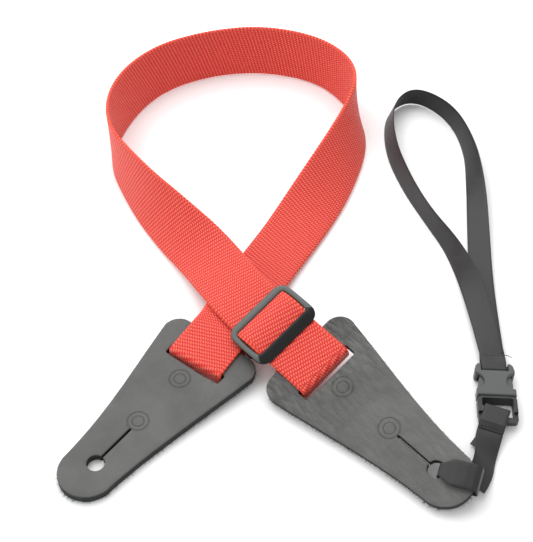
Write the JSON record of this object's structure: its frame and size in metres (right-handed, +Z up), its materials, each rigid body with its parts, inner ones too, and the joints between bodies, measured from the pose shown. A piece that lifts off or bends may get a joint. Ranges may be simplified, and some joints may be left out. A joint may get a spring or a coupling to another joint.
{
  "type": "ukulele strap with headstock tie",
  "caption": "Ukulele strap in red woven webbing with slit leather button tabs, a sliding tri-glide and a black ribbon headstock tie on a small side-release buckle.",
  "frame": {"origin": "centre of the left end tab's strap-button hole, at the tab's underside, which is the floor", "axes": "+Z up off the floor; +Y from the end tabs toward the far side of the strap's loop; +X from the left end tab toward the right end tab and the tie"},
  "size_m": [0.184, 0.2705, 0.0263],
  "materials": {
    "red_webbing": "coarse woven polyester, satin",
    "black_ribbon": "satin ribbon",
    "leather": "smooth dark grey leather, matt",
    "slider_plastic": "satin",
    "buckle_plastic": "satin",
    "red_thread": "matt thread",
    "black_thread": "matt thread"
  },
  "bodies": {
    "tab_right": {"end_tab_right": "leather", "webbing_end_right": "red_webbing", "tie_hitch_over": "black_ribbon", "tie_hitch_under": "black_ribbon", "tie_base_ribbon": "black_ribbon", "tie_base_tail": "black_ribbon"},
    "strap_loop": {"webbing_loop": "red_webbing", "webbing_tail_left": "red_webbing", "webbing_tail_stitches": "red_thread"},
    "tab_left": {"end_tab_left": "leather", "webbing_end_left": "red_webbing"},
    "slider": {"slider_tri_glide": "slider_plastic", "webbing_keeper": "red_webbing", "webbing_keeper_stitches": "red_thread"},
    "buckle_base": {"buckle_male": "buckle_plastic", "tie_base_wrap": "black_ribbon", "tie_base_stitches": "black_thread"},
    "prong_left": {"buckle_prong_left": "buckle_plastic"},
    "prong_right": {"buckle_prong_right": "buckle_plastic"},
    "buckle_top": {"buckle_female": "buckle_plastic"},
    "tie_loop": {"tie_loop_ribbon": "black_ribbon", "tie_loop_wrap": "black_ribbon", "tie_hem_stitches": "black_thread"}
  },
  "joints": [
    {"name": "strap_flex_right", "type": "hinge", "parent": "tab_right", "child": "strap_loop", "pos_m": [0.0883, 0.03872, 0.01311], "axis": [0.7067, 0.6366, 0.3089], "range_deg": [0, 15], "stiffness_Nm_per_rad": 0.01},
    {"name": "strap_flex_left", "type": "hinge", "parent": "strap_loop", "child": "tab_left", "pos_m": [0.0466, 0.06198, 0.0083], "axis": [-0.8358, 0.549, 0], "range_deg": [0, 15], "stiffness_Nm_per_rad": 0.01},
    {"name": "slider_slide", "type": "slide", "parent": "strap_loop", "child": "slider", "axis": [0.6696, -0.7427, -0.0013], "range_m": [0, 0.0045]},
    {"name": "tie_flex", "type": "hinge", "parent": "tab_right", "child": "buckle_base", "pos_m": [0.1543, 0.01474, 0.0031], "axis": [0.9272, -0.3746, 0], "range_deg": [0, 15], "stiffness_Nm_per_rad": 0.002},
    {"name": "prong_squeeze_left", "type": "hinge", "parent": "buckle_base", "child": "prong_left", "pos_m": [0.15475, 0.03071, 0.0031], "axis": [0, 0, -1], "range_deg": [0, 6], "stiffness_Nm_per_rad": 0.02},
    {"name": "prong_squeeze_right", "type": "hinge", "parent": "buckle_base", "child": "prong_right", "pos_m": [0.16293, 0.03028, 0.0031], "axis": [0, 0, 1], "range_deg": [0, 6], "stiffness_Nm_per_rad": 0.02},
    {"name": "buckle_pull", "type": "slide", "parent": "buckle_base", "child": "buckle_top", "axis": [0.0523, 0.9986, 0], "range_m": [0, 0.014]},
    {"name": "tie_loop_swing", "type": "hinge", "parent": "buckle_top", "child": "tie_loop", "pos_m": [0.15963, 0.04558, 0.0031], "axis": [0.9986, -0.0523, 0], "range_deg": [0, 20], "stiffness_Nm_per_rad": 0.002}
  ],
  "couplings": [
    {"joint": "prong_squeeze_right", "follows": "prong_squeeze_left", "ratio": 1}
  ]
}
